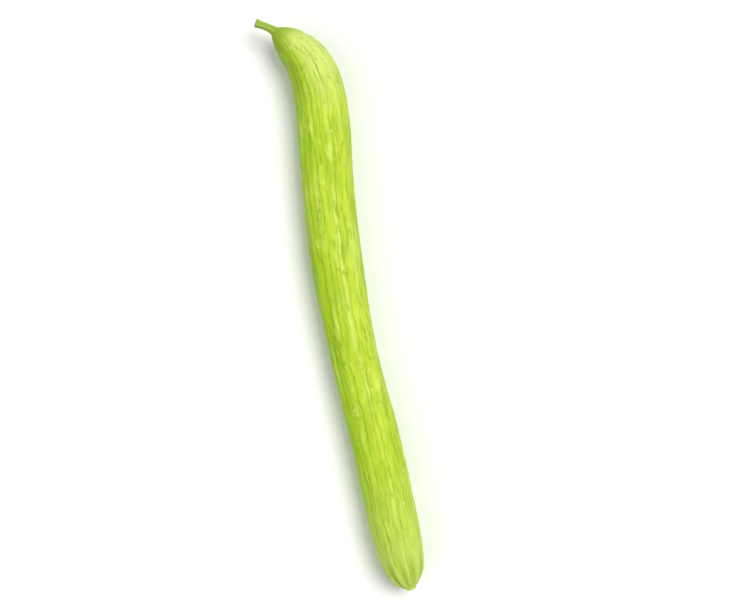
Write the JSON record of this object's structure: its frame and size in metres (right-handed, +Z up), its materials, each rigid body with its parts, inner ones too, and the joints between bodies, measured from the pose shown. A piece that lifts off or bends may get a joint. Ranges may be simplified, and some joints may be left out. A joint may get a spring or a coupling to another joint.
{
  "type": "cucumber",
  "caption": "Long slender snake cucumber as picked, lying on its side: a softly ribbed fruit with a hooked neck, a short ridged stem and a blunt blossom end.",
  "frame": {"origin": "on the surface that the cucumber lies on, at the middle of its box", "axes": "+X along the fruit from the stem end to the blossom end, +Z up from the surface that it lies on, +Y towards the outside of the neck's hook"},
  "size_m": [0.4014, 0.0515, 0.0347],
  "materials": {
    "skin": "satin",
    "stalk": "satin"
  },
  "bodies": {
    "root": {"fruit": "skin", "stem": "stalk"}
  },
  "joints": []
}
